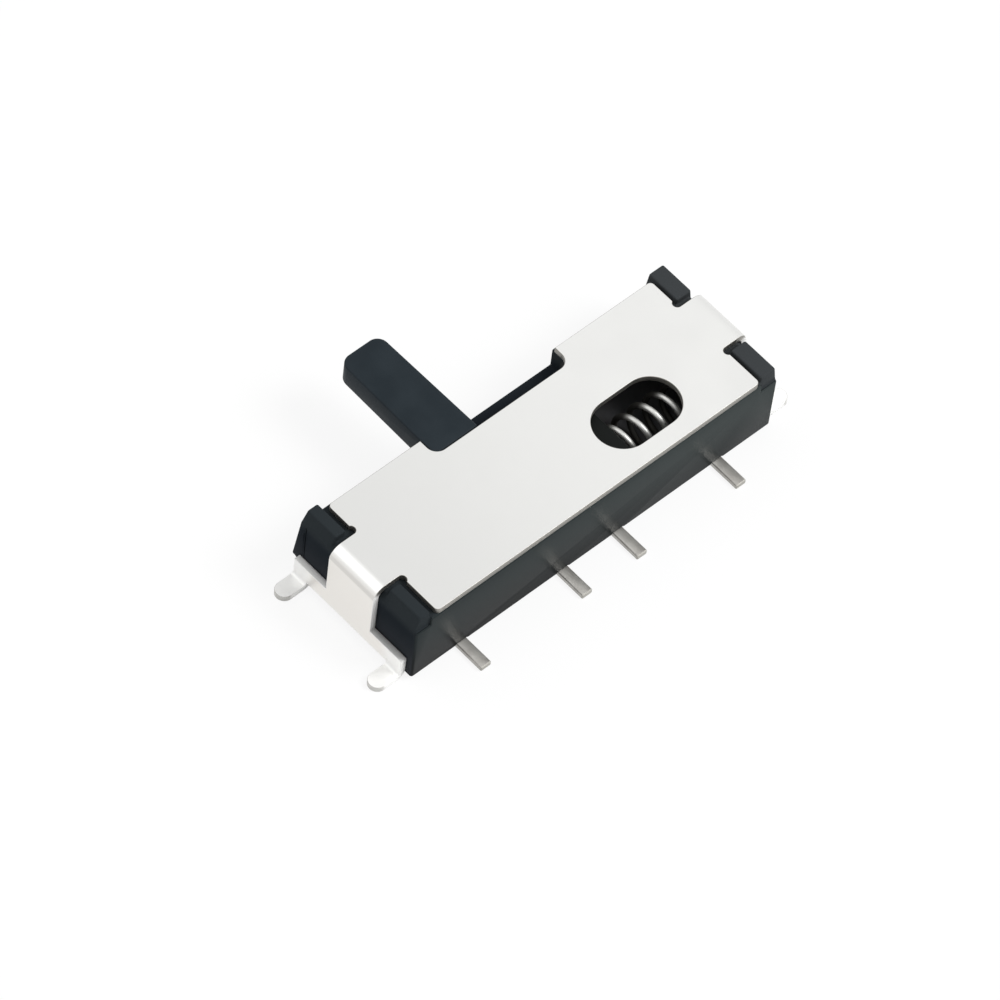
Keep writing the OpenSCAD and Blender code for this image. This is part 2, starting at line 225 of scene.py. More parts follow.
def blank_end():
    """The right end of the outline, from the front edge of the plate to the back edge."""
    half_tab, half_flange = TAB_W / 2, FLANGE_W / 2
    slot_r = RELIEF_W / 2
    slot_u = PLATE_X - RELIEF_D + slot_r
    dip = math.degrees(math.acos((slot_u - PLATE_X) / slot_r))
    foot = half_flange - FOOT_W / 2
    upper = np.vstack([
        [[FLANGE_U1, half_flange - FOOT_W - NICK],
         [NICK_U, half_flange - FOOT_W - NICK],
         [NICK_U, half_flange - FOOT_W]],
        arc(FOOT_U1, foot, FOOT_W / 2, -90, 90),
        [[FLANGE_U0, half_flange], [FLANGE_U0, half_tab]],
        arc(slot_u, half_tab + slot_r, slot_r, 270, 180 - dip),
    ])
    lower = upper[::-1] * [1, -1]
    front = arc(PLATE_X - CORNER_R, PLATE_FRONT + CORNER_R, CORNER_R, -90, 0, steps=6)
    rear = arc(PLATE_X - CORNER_R, PLATE_BACK - CORNER_R, CORNER_R, 0, 90, steps=6)
    return np.vstack([front, lower + [0, END_Y], upper + [0, END_Y], rear])


end = blank_end()
notch = np.vstack([
    [[NOTCH_X1, PLATE_BACK]],
    arc(NOTCH_X1 - NOTCH_R, NOTCH_Y + NOTCH_R, NOTCH_R, 0, -90, steps=10),
    arc(NOTCH_X0 + NOTCH_R, NOTCH_Y + NOTCH_R, NOTCH_R, -90, -180, steps=10),
    [[NOTCH_X0, PLATE_BACK]],
])
outline = np.vstack([end, notch, (end * [-1, 1])[::-1]])
window_r = WINDOW_W / 2
window_half = WINDOW_L / 2 - window_r
window = np.vstack([
    arc(WINDOW_X - window_half, WINDOW_Y, window_r, 270, 90, steps=28),
    arc(WINDOW_X + window_half, WINDOW_Y, window_r, 90, -90, steps=28),
])
print("outline", len(outline), "points, window", len(window))

# %% [markdown]
# ## Stations across the blank
#
# The flat faces of the blank will be filled with triangles, and a triangle can't bend. So
# edges are laid straight across the sheet wherever a bend needs them. Such a place along u
# is called a station here. There is one just outside each end of a bend too, which keeps
# the flat metal next to it flat.

# %% Stations across the blank
# Places nearer to each other than this count as one
TINY, TINIEST = 1e-6, 1e-7


def add_stations(loop, stations):
    """The loop with a new point wherever one of its sides crosses u = a station."""
    run = np.roll(loop, -1, axis=0) - loop
    with np.errstate(divide="ignore", invalid="ignore"):
        share = (stations[None, :] - loop[:, :1]) / run[:, :1]
    side, station = np.nonzero((share > TINY) & (share < 1 - TINY))
    share = share[side, station]
    extra = loop[side] + share[:, None] * run[side]
    order = np.argsort(np.concatenate([np.arange(len(loop)), side + share]))
    return np.vstack([loop, extra])[order]


def inward(loop):
    """For each point, the step that moves both sides next to it inwards by one."""
    run = np.roll(loop, -1, axis=0) - loop
    normal = np.column_stack([-run[:, 1], run[:, 0]])
    normal /= np.linalg.norm(normal, axis=1, keepdims=True)
    before = np.roll(normal, 1, axis=0)
    return (normal + before) / (1 + np.sum(normal * before, axis=1, keepdims=True))


def crossing_pairs(loops, stations):
    """Pairs of point numbers that face each other across the sheet at each station."""
    points = np.vstack(loops)
    pairs = []
    for station in stations:
        row = np.nonzero(np.abs(points[:, 0] - station) < TINY)[0]
        row = row[np.argsort(points[row, 1])]
        pairs += row.reshape(-1, 2).tolist()
    return pairs


MARGIN = 0.03
FOLD_STATIONS, BEND_STATIONS = 11, 9
half = np.concatenate([
    [FOLD_U0 - MARGIN], np.linspace(FOLD_U0, FOLD_U1, FOLD_STATIONS), [FOLD_U1 + MARGIN],
    [BEND_U0 - MARGIN], np.linspace(BEND_U0, BEND_U1, BEND_STATIONS), [BEND_U1 + MARGIN]])
stations = np.concatenate([-half[::-1], half])
print(len(stations), "stations across the blank")

# %% [markdown]
# ## Filling the flat faces
#
# A face with a hole and a curved outline is awkward to cut into triangles by hand. Blender
# has a function for it, a Delaunay triangulation that keeps every given edge. It fills the
# notch and the window as well, so a second function tells which triangles are metal: from
# a place inside the metal, a ray crosses the edges an odd number of times.

# %% Filling the flat faces
def is_inside(spots, loops):
    """True for each spot from which a ray along u crosses the loops an odd number of times."""
    crossings = np.zeros(len(spots), int)
    for loop in loops:
        u0, v0 = loop.T
        u1, v1 = np.roll(loop, -1, axis=0).T
        u, v = spots[:, :1], spots[:, 1:]
        spans = (v0 > v) != (v1 > v)
        with np.errstate(divide="ignore", invalid="ignore"):
            meets = u0 + (v - v0) * (u1 - u0) / (v1 - v0)
        crossings += np.sum(spans & (meets > u), axis=1)
    return crossings % 2 == 1


def fill(loops, stations):
    """Triangles between an outer loop and its holes, with an edge along each station."""
    counts = np.cumsum([0] + [len(loop) for loop in loops])
    edges = []
    for first, after in zip(counts[:-1], counts[1:]):
        ring = np.arange(first, after)
        edges += np.column_stack([ring, np.roll(ring, -1)]).tolist()
    edges += crossing_pairs(loops, stations)
    points = np.vstack(loops)
    corners = [Vector(p) for p in points.tolist()]
    out = delaunay_2d_cdt(corners, edges, [], 0, TINIEST, True)
    number = np.array([old[0] for old in out[3]])
    triangles = number[np.array(out[2])]
    inside = is_inside(points[triangles].mean(axis=1), loops)
    return triangles[inside]


window_middle = np.array([[WINDOW_X, WINDOW_Y]])
has_metal = bool(is_inside(window_middle, [outline, window])[0])
print("there is metal in the middle of the window:", has_metal)

# %% [markdown]
# ## Rolled edges
#
# A punch never leaves a square edge. It drags the metal down on the side where it enters,
# so each edge gets a rounded ring of faces, which is the outline drawn a little further in
# at a little more height. The wall below it and most of the rolled edge above it are marked.
# The sheared metal of the wall will get a look of its own, and the rolled edge takes the
# same colour: a painted shade round the plate, which holds back its highlight, and a painted
# light below the folds.

# %% Rolled edges
ROLL = CHAMFER = SUPPORT = 0.012
ROLL_STEPS = 4


def cut_sheet(loops, stations, thickness):
    """A flat sheet with rolled upper edges: points (u, v, height), faces and cut marks.

    Each loop is carried down through a row of levels. A level says how far in from the
    cut line the ring lies, and how high. The upper levels follow a quarter circle, and
    the lower edge is a small chamfer. A supporting ring further in keeps the shading of
    each flat face flat. The mark is 1 on the sheared wall and the rolled edge above it,
    and 0 elsewhere."""
    a = np.linspace(0, math.pi / 2, ROLL_STEPS + 1)
    inset = np.concatenate([
        [ROLL + SUPPORT], ROLL * (1 - np.sin(a)), [0, CHAMFER, CHAMFER + SUPPORT]])
    height = np.concatenate([
        [thickness], thickness - ROLL * (1 - np.cos(a)), [CHAMFER, 0, 0]])
    loops = [add_stations(loop, stations) for loop in loops]
    sheared = (inset < 0.99 * ROLL).astype(float)
    points, faces, starts, marks = [], [], [], []
    for loop in loops:
        count, levels = len(loop), len(inset)
        start = sum(len(p) for p in points)
        starts.append(start)
        rings = loop[None] + inset[:, None, None] * inward(loop)[None]
        level = np.broadcast_to(height[:, None, None], (levels, count, 1))
        points.append(np.concatenate([rings, level], axis=2).reshape(-1, 3))
        marks.append(np.repeat(sheared, count))
        here = np.arange((levels - 1) * count).reshape(levels - 1, count) + start
        ahead = np.roll(here, -1, axis=1)
        quads = np.stack([here, here + count, ahead + count, ahead], axis=2)
        faces += quads.reshape(-1, 4).tolist()
    for level, flip in ((0, False), (len(inset) - 1, True)):
        rings = [loop + inset[level] * inward(loop) for loop in loops]
        numbers = np.concatenate([
            start + level * len(loop) + np.arange(len(loop))
            for start, loop in zip(starts, loops)])
        cap = numbers[fill(rings, stations)]
        faces += (cap[:, ::-1] if flip else cap).tolist()
    return np.vstack(points), faces, np.concatenate(marks)


flat, sheet_faces, cut_marks = cut_sheet([outline, window], stations, SHEET)
print("flat blank:", len(flat), "points,", len(sheet_faces), "faces")

# %% [markdown]
# ## Bending the blank
#
# Only the places of the points change when the blank is bent, so the faces made above stay
# as they are. The flat coordinates are kept as a UV map and the cut marks as an attribute,
# because the finish of the sheet follows the metal round its bends.

# %% Bend the blank
MAP_SCALE = 0.1


def bend(flat):
    """Folds (u, v, height) into (x, y, z).

    Going outwards along u, the sheet runs level, turns down through a quarter circle,
    runs down, and at the feet alone turns back outwards. The height is measured square
    to the sheet, so the metal keeps its thickness round each bend."""
    u, v, height = flat.T
    run = np.abs(u)
    foot = np.abs(v - END_Y) > FLANGE_W / 2 - FOOT_W - NICK / 2
    fold = np.clip((run - FOLD_U0) / FOLD_R, 0, math.pi / 2)
    turn = np.where(foot, np.clip((run - BEND_U0) / BEND_Z, 0, math.pi / 2), 0)
    down = np.clip(run - FOLD_U1, 0, np.where(foot, BEND_U0 - FOLD_U1, np.inf))
    out = np.where(foot, np.maximum(run - BEND_U1, 0), 0)
    x = np.minimum(run, FOLD_U0) + FOLD_R * np.sin(fold) + BEND_Z * (1 - np.cos(turn)) + out
    z = RIM_Z - FOLD_R * (1 - np.cos(fold)) - down - BEND_Z * np.sin(turn)
    x = x + height * np.sin(fold - turn)
    z = z + height * np.cos(fold - turn)
    return np.column_stack([np.sign(u) * x, v, z])


cover = mesh_piece("cover_sheet", bend(flat), sheet_faces)
corner_points = np.empty(len(cover.data.loops), int)
cover.data.loops.foreach_get("vertex_index", corner_points)
blank_map = cover.data.uv_layers.new(name="blank")
blank_map.data.foreach_set("uv", (flat[corner_points, :2] * MAP_SCALE).ravel())
cut = cover.data.attributes.new("cut", "FLOAT", "POINT")
cut.data.foreach_set("value", cut_marks)
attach(cover, "body")
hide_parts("cover")
print("cover_sheet:", len(cover.data.polygons), "faces,",
      [round(d / MM, 2) for d in cover.dimensions], "mm")

# %% [markdown]
# ## The mouldings
#
# The housing and the slider are moulded in one black plastic. Their CAD solids have the
# right shape, so each piece is a merged copy with its edges rounded. A moulding this small
# has edge radii of a few hundredths of a millimetre. They matter, because a rounded edge
# is the only place that catches a highlight on a black part.

# %% Housing and slider
MOULD_R = 0.04

housing = soft_copy("housing", "housing_shell", MOULD_R)
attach(housing, "body")
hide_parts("housing")

slider = soft_copy("slider", "slider_shell", MOULD_R)
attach(slider, "slider")
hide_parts("slider")
print("housing_shell and slider_shell are in place, with edges of", MOULD_R, "mm")

# %% [markdown]
# ## The terminals
#
# Each terminal is a flat strip stamped from tinned brass. Its long edges are rolled by the
# punch, and its tip is broken off a carrier strip, so it ends square.

# %% Terminals
STRIP_R = 0.03

terminals = []
for number in range(1, 5):
    strip = soft_copy(f"terminal_{number}", f"terminal_strip_{number}", STRIP_R)
    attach(strip, "body")
    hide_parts(f"terminal_{number}")
    terminals.append(strip)
print(len(terminals), "terminals")

# %% [markdown]
# ## The return spring
#
# The spring is a round wire wound into a coil: almost one closed turn at each end, and
# open turns between. The middle of the wire is a helix about X, whose step along X is small
# in the closed turns and larger in the open ones. A ring of points is carried along it,
# square to its run. A spring this slender never lies quite straight between its seats, so
# the middle of the coil bows a little to one side.

# %% Measures of the spring
# CLOSED and OPEN are numbers of turns, START is the share of a turn at which the wire
# begins, BOW is how far the middle leans, and HELD and FREE are shares of the length.
SPRING_LOW, SPRING_HIGH = (np.array(corner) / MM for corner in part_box("return_spring"))
WIRE = 0.13
SLACK = 0.02
COIL_R = (SPRING_HIGH[2] - SPRING_LOW[2] - WIRE) / 2 - SLACK
CLOSED, OPEN = 0.9, 9.0
START = 0.205
BOW = 0.05
HELD, FREE = 0.22, 0.34
CLOSED_STEP = WIRE * 1.06
STEPS_A_TURN, WIRE_SIDES = 48, 16
axis_y = (SPRING_LOW[1] + SPRING_HIGH[1]) / 2
axis_z = (SPRING_LOW[2] + SPRING_HIGH[2]) / 2
spring_length = SPRING_HIGH[0] - SPRING_LOW[0]
open_step = (spring_length - WIRE - 2 * CLOSED * CLOSED_STEP) / OPEN
print("the coil is", round(spring_length, 2), "mm long; its open turns step by",
      round(open_step, 3), "mm")


# %% Return spring
def coil_points(turn, around):
    """The wire's surface: turn counts along the coil, around is the angle about the wire.

    The middle of the wire goes round the axis once a turn and moves along it by the step.
    The spigots keep the axis straight at both ends. Between them it bows towards +Y, and
    the bow fades in as t * t * (3 - 2t), where t goes from 0 to 1 between the held share
    and the free share of the length. Out points from the axis to the wire, and side is
    square to both out and the run."""
    first = np.minimum(turn, CLOSED)
    opened = np.clip(turn - CLOSED, 0, OPEN)
    last = np.maximum(turn - CLOSED - OPEN, 0)
    x = SPRING_LOW[0] + WIRE / 2 + CLOSED_STEP * (first + last) + open_step * opened
    angle = 2 * math.pi * (turn + START)
    out = np.stack([0 * x, np.cos(angle), np.sin(angle)], axis=-1)
    step = np.gradient(x, turn)
    run = np.stack([step, -2 * math.pi * COIL_R * np.sin(angle),
                    2 * math.pi * COIL_R * np.cos(angle)], axis=-1)
    run /= np.linalg.norm(run, axis=-1, keepdims=True)
    side = np.cross(run, out)
    share = (x - x[0]) / (x[-1] - x[0])
    t = np.clip((np.minimum(share, 1 - share) - HELD) / (FREE - HELD), 0, 1)
    bowed_y = axis_y + BOW * t * t * (3 - 2 * t)
    middle = np.stack([x, bowed_y + COIL_R * out[:, 1], axis_z + COIL_R * out[:, 2]], axis=-1)
    a = around[None, :, None]
    return middle[:, None] + WIRE / 2 * (np.cos(a) * out[:, None] + np.sin(a) * side[:, None])


turns = 2 * CLOSED + OPEN
turn = np.linspace(0, turns, int(turns * STEPS_A_TURN) + 1)
around = np.linspace(0, 2 * math.pi, WIRE_SIDES, endpoint=False)
grid = coil_points(turn, around)
rows, columns = grid.shape[:2]
here = np.arange(rows * columns).reshape(rows, columns)
quads = np.stack([
    here[:-1], here[1:], np.roll(here[1:], -1, 1), np.roll(here[:-1], -1, 1)], 2)
coil_faces = quads.reshape(-1, 4).tolist() + [here[0].tolist(), here[-1][::-1].tolist()]
spring = mesh_piece("spring_coil", grid.reshape(-1, 3), coil_faces)
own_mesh(spring)
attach(spring, "body")
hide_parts("return_spring")
print("spring_coil:", round(turns, 1), "turns,", len(coil_faces), "faces")

# %% [markdown]
# ## Finishes
#
# Two effects are shared by several finishes, so each is a node group with named inputs.
# Fine grain is a noise that can be stretched along one direction, as rolling leaves it in
# sheet metal. Blotches are broad and faint: plating and moulded plastic are never quite
# even.

# %% Node groups
def new_group(name, inputs, outputs):
    """An empty shader group with named float or vector sockets and its two end nodes."""
    group = bpy.data.node_groups.new(name, "ShaderNodeTree")
    for label, kind, value in inputs:
        socket = group.interface.new_socket(label, in_out="INPUT", socket_type=kind)
        if value is not None:
            socket.default_value = value
    for label, kind in outputs:
        group.interface.new_socket(label, in_out="OUTPUT", socket_type=kind)
    return group, group.nodes.new("NodeGroupInput"), group.nodes.new("NodeGroupOutput")


def add(tree, kind, links=None, **settings):
    """A node with its settings, and with each named input set or linked."""
    node = tree.nodes.new(kind)
    for key, value in settings.items():
        setattr(node, key, value)
    for label, value in (links or {}).items():
        if isinstance(value, bpy.types.NodeSocket):
            tree.links.new(value, node.inputs[label])
        else:
            node.inputs[label].default_value = value
    return node


VALUE, VECTOR = "NodeSocketFloat", "NodeSocketVector"

grain, into, out = new_group(
    "fine grain",
    [("Vector", VECTOR, None), ("Fineness", VALUE, 4.0), ("Stretch", VECTOR, (1, 1, 1))],
    [("Height", VALUE)])
stretched = add(grain, "ShaderNodeVectorMath",
                {0: into.outputs["Vector"], 1: into.outputs["Stretch"]},
                operation="MULTIPLY")
noise = add(grain, "ShaderNodeTexNoise",
            {"Vector": stretched.outputs[0], "Scale": into.outputs["Fineness"],
             "Detail": 3.0, "Roughness": 0.6})
grain.links.new(noise.outputs["Fac"], out.inputs["Height"])

blotch, into, out = new_group(
    "soft blotches",
    [("Vector", VECTOR, None), ("Scale", VALUE, 1.0)],
    [("Mask", VALUE)])
noise = add(blotch, "ShaderNodeTexNoise",
            {"Vector": into.outputs["Vector"], "Scale": into.outputs["Scale"], "Detail": 2.0})
spread = add(blotch, "ShaderNodeMapRange",
             {"Value": noise.outputs["Fac"], "From Min": 0.3, "From Max": 0.7},
             interpolation_type="SMOOTHSTEP")
blotch.links.new(spread.outputs["Result"], out.inputs["Mask"])
print("node groups:", [g.name for g in bpy.data.node_groups])

# %% [markdown]
# ## Masks and blends
#
# A mask is a value between 0 and 1 that says where something shows. Here most masks come
# from the place on the part: they rise or fall between two places along one axis. Blends
# use them to go from one colour or one roughness to another. So each finish below reads
# as a list of places and of what changes there.

# %% Masks and blends
def maths(tree, operation, *values, clamp=False):
    """The result of one Math node on one, two or three values."""
    return add(tree, "ShaderNodeMath", dict(enumerate(values)), operation=operation,
               use_clamp=clamp).outputs[0]


def ramp(tree, value, start, end, first=0.0, last=1.0):
    """The value first up to start and the value last from end on, smooth between."""
    return add(tree, "ShaderNodeMapRange",
               {"Value": value, "From Min": start, "From Max": end, "To Min": first,
                "To Max": last}, interpolation_type="SMOOTHSTEP").outputs["Result"]


def falling(tree, value, start, end):
    """1 up to start and 0 from end on, with a smooth fall between."""
    return ramp(tree, value, start, end, first=1.0, last=0.0)


def distance(tree, value, middle):
    """How far value is from middle, on either side."""
    return maths(tree, "ABSOLUTE", maths(tree, "SUBTRACT", value, middle))


def all_of(tree, *masks):
    """The product of several masks: 1 only where each of them is 1."""
    product = masks[0]
    for mask in masks[1:]:
        product = maths(tree, "MULTIPLY", product, mask)
    return product


def blend_value(tree, mask, first, second):
    """The first value where mask is 0 and the second where it is 1.

    A Mix node has a pair of inputs for each kind of data, and 2 and 3 are its values."""
    return add(tree, "ShaderNodeMix", {"Factor": mask, 2: first, 3: second}).outputs[0]


def blend_colour(tree, mask, first, second):
    """The first colour where mask is 0 and the second where it is 1.

    Inputs 6 and 7 of a Mix node are its colours, and they come out of output 2."""
    return add(tree, "ShaderNodeMix", {"Factor": mask, 6: first, 7: second},
               data_type="RGBA").outputs[2]


def blotches(tree, place, scale):
    """The mask of the soft blotches. A larger scale makes them smaller and closer."""
    return add(tree, "ShaderNodeGroup", {"Vector": place, "Scale": scale},
               node_tree=blotch).outputs["Mask"]


print("a finish may now use ramps, distances, products, blends and blotches")

# %% [markdown]
# ## Opening and closing a finish
#
# Most finishes begin with the place on the part in millimetres, read from Object
# coordinates, which are the part's own frame here. All end with fine grain in relief and
# one Principled shader. Numbers that are the same all over a surface are set on the shader
# itself.

# %% Opening and closing a finish
def tone(red, green, blue):
    """A colour given as it looks on a screen, 0 to 255, as the linear values Blender uses."""
    c = np.array([red, green, blue]) / 255
    linear = np.where(c <= 0.04045, c / 12.92, ((c + 0.055) / 1.055) ** 2.4)
    return (*linear.tolist(), 1.0)


def empty_tree(owner):
    """The cleared node tree of a material or a world."""
    owner.use_nodes = True
    owner.node_tree.nodes.clear()
    return owner.node_tree


def new_material(name):
    """An empty material, its tree, and the place in millimetres, whole and as X, Y and Z."""
    material = bpy.data.materials.new(name)
    tree = empty_tree(material)
    place = add(tree, "ShaderNodeTexCoord").outputs["Object"]
    place = add(tree, "ShaderNodeMapping",
                {"Vector": place, "Scale": [1 / MM] * 3}).outputs[0]
    axes = add(tree, "ShaderNodeSeparateXYZ", {0: place}).outputs
    return material, tree, place, axes


def close_material(tree, place, colour, rough, grain_size, relief, stretch=(1, 1, 1),
                   press=None, metallic=0.0, specular=0.5):
    """Grain in relief, the surface shader and the output.

    The grain is relief millimetres high. Where the mask press is given, the surface is
    sunk there by twice as much."""
    lines = add(tree, "ShaderNodeGroup",
                {"Vector": place, "Fineness": grain_size, "Stretch": stretch},
                node_tree=grain)
    height = lines.outputs["Height"]
    if press is not None:
        height = maths(tree, "MULTIPLY_ADD", press, -2.0, height)
    bump = add(tree, "ShaderNodeBump",
               {"Height": height, "Strength": 1.0, "Distance": relief * MM})
    surface = add(tree, "ShaderNodeBsdfPrincipled",
                  {"Base Color": colour, "Roughness": rough, "Normal": bump.outputs[0],
                   "Metallic": metallic, "Specular IOR Level": specular})
    add(tree, "ShaderNodeOutputMaterial", {"Surface": surface.outputs[0]})


# Rolling leaves a grain that is five times as long as it is wide
ROLLED = (0.2, 1, 1)
print("a mid grey of 128 is", round(tone(128, 128, 128)[0], 3), "in linear light")

# %% [markdown]
# ## The contact alloy
#
# The sprung contact under the slider is a copper alloy, rolled thin. It hardly shows, so
# its finish is the plainest one: two tones of brass that drift into each other.

# %% Contact alloy
alloy, tree, place, axes = new_material("contact alloy")
drift = blotches(tree, place, 3.0)
colour = blend_colour(tree, drift, tone(178, 140, 70), tone(204, 168, 92))
rough = blend_value(tree, drift, 0.25, 0.35)
close_material(tree, place, colour, rough, grain_size=18, relief=0.0006, stretch=ROLLED,
               metallic=1.0)
print("finish:", alloy.name)

# %% [markdown]
# ## The black mouldings
#
# One black plastic does not look the same all over a moulding. The long front wall comes
# off a polished face of the mould, so it mirrors the terminals that stand before it, and its
# colour is a painted shade: darker towards its foot and towards its left end. The other
# walls come off spark-eroded faces and are matt, and their colour is a painted light: paler
# towards the foot, against the shade there. The top faces of the posts are painted paler
# than the walls, and paler still at the right end, a painted sheen. The inside is painted
# paler, mostly in its right half, a painted light in the dark cavity. Each difference is a
# mask made from the place on the part.

# %% Housing plastic
# Where each mask starts and ends, in millimetres: along Z, along X and along Y
WALL_RISE, POST_TOPS, UNDER_COVER = (0.1, 1.5), (1.4, 1.7), (1.70, 1.76)
LEFT_TO_RIGHT, RIGHT_POSTS, PAINTED_LIGHT_INSIDE = (-4.6, 4.6), (2.0, 4.6), (1.4, 2.8)
LEFT_WALL, RIGHT_WALL = (-4.35, -4.25), (4.25, 4.35)
FRONT_FACE, FRONT_WALL, BACK_WALL = (-1.64, -1.60), (-1.35, -1.25), (1.3, 1.4)

black, tree, place, axes = new_material("black moulded plastic")
raised = ramp(tree, axes["Z"], *WALL_RISE)
on_top = ramp(tree, axes["Z"], *POST_TOPS)
far_end = ramp(tree, axes["X"], *RIGHT_POSTS)
to_right = ramp(tree, axes["X"], *LEFT_TO_RIGHT)
front = falling(tree, axes["Y"], *FRONT_FACE)
inside = all_of(
    tree, ramp(tree, axes["Y"], *FRONT_WALL), falling(tree, axes["Y"], *BACK_WALL),
    ramp(tree, axes["X"], *LEFT_WALL), falling(tree, axes["X"], *RIGHT_WALL),
    falling(tree, axes["Z"], *UNDER_COVER))
drift = blotches(tree, place, 1.5)
# Painted light: the matt walls are paler towards the foot, against the shade there. The top
# faces of the posts are paler still, more so at the right end, a painted sheen.
matt = blend_colour(tree, raised, tone(50, 52, 56), tone(32, 37, 42))
post_tops_painted_sheen = blend_colour(tree, far_end, tone(45, 50, 53), tone(60, 63, 65))
matt = blend_colour(tree, on_top, matt, post_tops_painted_sheen)
# Painted shade: the front wall is darker towards its foot and towards its left end.
front_foot_painted_shade = blend_colour(tree, to_right, tone(6, 9, 11), tone(34, 38, 39))
front_top_painted_shade = blend_colour(tree, to_right, tone(43, 49, 50), tone(56, 62, 62))
front_painted_shade = blend_colour(tree, raised, front_foot_painted_shade, front_top_painted_shade)
colour = blend_colour(tree, front, matt, front_painted_shade)
# Painted light: the inside is paler than the walls outside, more so in its right half.
inside_right_painted_light = ramp(tree, axes["X"], *PAINTED_LIGHT_INSIDE)
inside_painted_light = blend_colour(tree, inside_right_painted_light, tone(56, 56, 56), tone(92, 92, 94))
colour = blend_colour(tree, inside, colour, inside_painted_light)
rough = blend_value(tree, drift, 0.72, 0.84)
rough = blend_value(tree, front, rough, 0.32)
close_material(tree, place, colour, rough, grain_size=26, relief=0.002, specular=0.026)
print("finish:", black.name)

# %% [markdown]
# ## The lever
#
# The slider is the same plastic, but fingers rub its lever, so it is satin instead of
# matt. What lies inside the notch of the cover is in the shade and looks darker.

# %% Lever plastic
NOTCH_EDGE = (1.0, 1.15)

lever_black, tree, place, axes = new_material("black lever plastic")
outside = ramp(tree, axes["Y"], *NOTCH_EDGE)
drift = blotches(tree, place, 1.5)
colour = blend_colour(tree, drift, tone(36, 43, 48), tone(41, 48, 53))
colour = blend_colour(tree, outside, tone(20, 22, 21), colour)
rough = blend_value(tree, drift, 0.4, 0.5)
close_material(tree, place, colour, rough, grain_size=26, relief=0.002, specular=0.06)
print("finish:", lever_black.name)

# %% [markdown]
# ## The spring wire
#
# Drawn wire is bright, and only the crown of each turn keeps that colour. Its lower half and
# its back are painted dark, a painted shade for the narrow trough it lies in.

# %% Spring wire
CROWN, WIRE_BACK = (1.0, 1.22), (-0.5, -0.28)

wire, tree, place, axes = new_material("spring wire")
painted_light_crown = all_of(tree, ramp(tree, axes["Z"], *CROWN), falling(tree, axes["Y"], *WIRE_BACK))
drift = blotches(tree, place, 3.0)
colour = blend_colour(tree, drift, tone(186, 186, 183), tone(200, 200, 197))
# Painted shade: the wire is dark below its crown and at its back.
colour = blend_colour(tree, painted_light_crown, tone(62, 61, 58), colour)
rough = blend_value(tree, painted_light_crown, 0.7, 0.46)
close_material(tree, place, colour, rough, grain_size=20, relief=0.0005, metallic=0.85)
print("finish:", wire.name)

# %% [markdown]
# ## The tinned strip
#
# The terminals are dipped in tin before they are cut apart, so they are a soft grey metal.
# The cut at the tip shows the bare core, which is duller.

# %% Tinned strip
TIP_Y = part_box("terminal_1")[0].y / MM
CUT_TIP = (TIP_Y + 0.02, TIP_Y + 0.05)

tinned, tree, place, axes = new_material("tinned strip")
tip = falling(tree, axes["Y"], *CUT_TIP)
drift = blotches(tree, place, 3.0)
colour = blend_colour(tree, drift, tone(172, 169, 164), tone(188, 186, 181))
colour = blend_colour(tree, tip, colour, tone(178, 176, 170))
rough = blend_value(tree, drift, 0.30, 0.35)
rough = blend_value(tree, tip, rough, 0.7)
close_material(tree, place, colour, rough, grain_size=18, relief=0.001, metallic=0.65)
print("finish:", tinned.name)

# %% [markdown]
# ## The plated sheet
#
# The flat of the sheet is almost even: the plating is bright but satin, so it shows a pale
# blur of the room. Its colour drifts in soft blotches and is painted darker towards the left
# end, a painted shade. Four places differ, and each gets a mask of its own. The tabs are
# painted a little warmer and paler than the plate, a painted reflection of the room they
# face. The sheared wall is rougher than the flat. Round the plate it is dark sheared metal,
# and the rolled edge above it takes the same dark colour, a painted shade that holds back its
# highlight. Below the folds it is painted white, a painted light in the narrow gap beside the
# posts, and at the tips of the feet it is painted grey, a painted shade. The solder feet and
# the sides of the flanges are dipped in tin, which is whiter. And the press leaves a thin
# sunk line along the lower edge of each fold, and the colour there is darker, a painted
# shade. The masks come from the coordinates of the flat blank, in millimetres, and from the
# marks on the cut rings.

# %% Plated sheet
# Where each mask starts and ends: along the strip, and across it for the flange's sides
TAB, PRESS_LINE = (FOLD_U0 + 0.10, FOLD_U0 + 0.20), FOLD_U0 + 0.19
PRESS_HALF, PRESS_SOFT = 0.015, 0.03
FLANGE, FLANGE_SIDES = (FLANGE_U0 - 0.10, FLANGE_U0), (0.9, 1.3)
TIN_LINE = (BEND_U0 - 0.10, BEND_U0 + 0.15)
FOOT_TIP = (FOOT_U1 - 0.05, FOOT_U1 + 0.05)
PAINTED_SHADE_SPAN_A, PAINTED_SHADE_SPAN_B = (-6.0, 1.0), (-5.0, 3.0)

plated = bpy.data.materials.new("plated sheet")
tree = empty_tree(plated)
place = add(tree, "ShaderNodeUVMap", uv_map="blank").outputs[0]
place = add(tree, "ShaderNodeMapping",
            {"Vector": place, "Scale": [1 / MAP_SCALE] * 3}).outputs[0]
blank = add(tree, "ShaderNodeSeparateXYZ", {0: place}).outputs
along = maths(tree, "ABSOLUTE", blank["X"])
across = distance(tree, blank["Y"], END_Y)
sheared = add(tree, "ShaderNodeAttribute", attribute_name="cut").outputs["Fac"]
on_tab = ramp(tree, along, *TAB)
flange_end = all_of(tree, ramp(tree, along, *FLANGE), ramp(tree, across, *FLANGE_SIDES))
dipped = maths(tree, "MAXIMUM", ramp(tree, along, *TIN_LINE), flange_end)
press = falling(tree, distance(tree, along, PRESS_LINE), PRESS_HALF, PRESS_HALF + PRESS_SOFT)
tip = ramp(tree, along, *FOOT_TIP)
drift = blotches(tree, place, 0.8)
